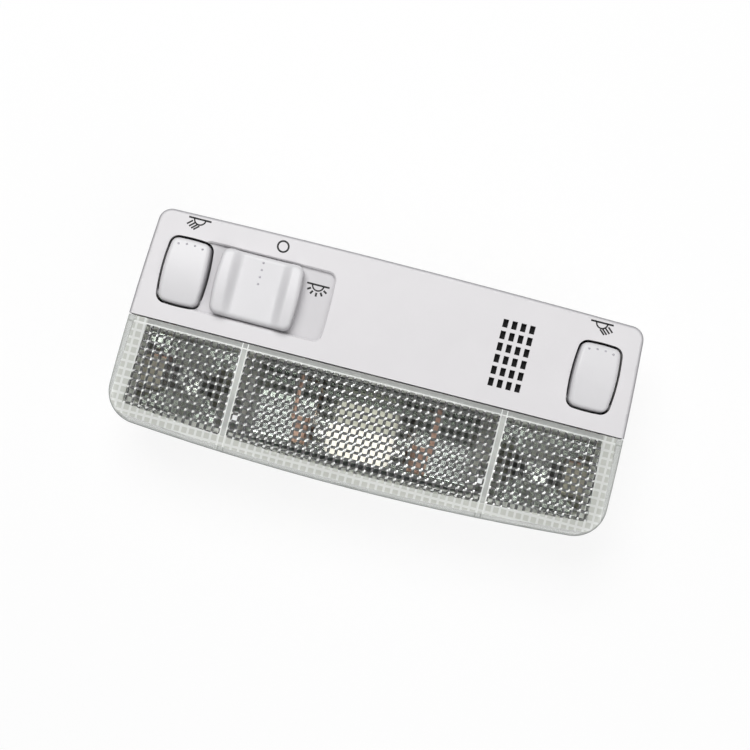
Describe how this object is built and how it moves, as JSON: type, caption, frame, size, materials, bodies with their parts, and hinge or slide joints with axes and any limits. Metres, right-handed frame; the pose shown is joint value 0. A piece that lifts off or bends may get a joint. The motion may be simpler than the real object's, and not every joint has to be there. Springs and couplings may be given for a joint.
{
  "type": "car interior reading light",
  "caption": "Roof-mounted car interior lamp: grey switch panel with press buttons, a dome slider and a microphone grille above a clear prismatic lens over a dome bulb and reading bulbs.",
  "frame": {"origin": "on the rear plane, under the middle of the plan", "axes": "+X along the lamp, +Y from the lens towards the switch panel, +Z out of the lit face"},
  "size_m": [0.2048, 0.092, 0.0456],
  "materials": {
    "panel_plastic": "fine grained light grey",
    "clear_plastic": "clear, pressed with prisms",
    "white_plastic": "plain white moulding",
    "key_plastic": "satin light grey",
    "black_plastic": "black moulding",
    "copper": "bright copper strip",
    "foam": "open cell black foam",
    "boot_rubber": "soft black rubber",
    "capsule_metal": "drawn can",
    "board": "green solder mask",
    "screw_steel": "zinc plated",
    "metallised_plastic": "vacuum metallised",
    "bulb_glass": "clear",
    "nickel": "nickel plated",
    "tungsten": "drawn wire",
    "plunger_plastic": "natural white",
    "cream_plastic": "heat resistant moulding"
  },
  "bodies": {
    "lamp": {"front_cover": "panel_plastic", "lens": "clear_plastic", "rear_housing": "white_plastic", "dome_switch_base": "black_plastic", "grille_foam": "foam", "microphone_boot": "boot_rubber", "microphone_capsule": "capsule_metal", "circuit_board": "board", "connector_socket": "black_plastic", "connector_pins": "copper", "cover_screws": "screw_steel", "board_screws": "screw_steel", "dome_reflector": "metallised_plastic", "dome_bulb_glass": "bulb_glass", "dome_bulb_caps": "nickel", "dome_bulb_filament": "tungsten", "left_push_switch": "black_plastic", "left_reading_reflector": "metallised_plastic", "left_reading_bulb": "bulb_glass", "left_reading_filament": "tungsten", "left_bulb_socket": "cream_plastic", "left_socket_strips": "copper", "left_dome_contact": "copper", "right_push_switch": "black_plastic", "right_reading_reflector": "metallised_plastic", "right_reading_bulb": "bulb_glass", "right_reading_filament": "tungsten", "right_bulb_socket": "cream_plastic", "right_socket_strips": "copper", "right_dome_contact": "copper"},
    "left_button": {"left_button": "key_plastic"},
    "right_button": {"right_button": "key_plastic"},
    "slider": {"dome_slider": "key_plastic", "slider_carriage": "black_plastic", "slider_wiper": "copper"},
    "left_plunger": {"left_switch_plunger": "plunger_plastic"},
    "right_plunger": {"right_switch_plunger": "plunger_plastic"}
  },
  "joints": [
    {"name": "left_button_press", "type": "hinge", "parent": "lamp", "child": "left_button", "pos_m": [-0.0844, 0.011, 0.0351], "axis": [-1, 0, 0], "range_deg": [0, 5], "stiffness_Nm_per_rad": 0.3, "springref_deg": -2.86},
    {"name": "left_plunger_press", "type": "slide", "parent": "lamp", "child": "left_plunger", "axis": [0, 0, -1], "range_m": [0, 0.0014]},
    {"name": "right_button_press", "type": "hinge", "parent": "lamp", "child": "right_button", "pos_m": [0.0844, 0.011, 0.0351], "axis": [-1, 0, 0], "range_deg": [0, 5], "stiffness_Nm_per_rad": 0.3, "springref_deg": -2.86},
    {"name": "right_plunger_press", "type": "slide", "parent": "lamp", "child": "right_plunger", "axis": [0, 0, -1], "range_m": [0, 0.0014]},
    {"name": "dome_slide", "type": "slide", "parent": "lamp", "child": "slider", "axis": [1, 0, 0], "range_m": [0, 0.011]}
  ],
  "couplings": [
    {"joint": "left_plunger_press", "follows": "left_button_press", "m_per_rad": 0.015},
    {"joint": "right_plunger_press", "follows": "right_button_press", "m_per_rad": 0.015}
  ]
}
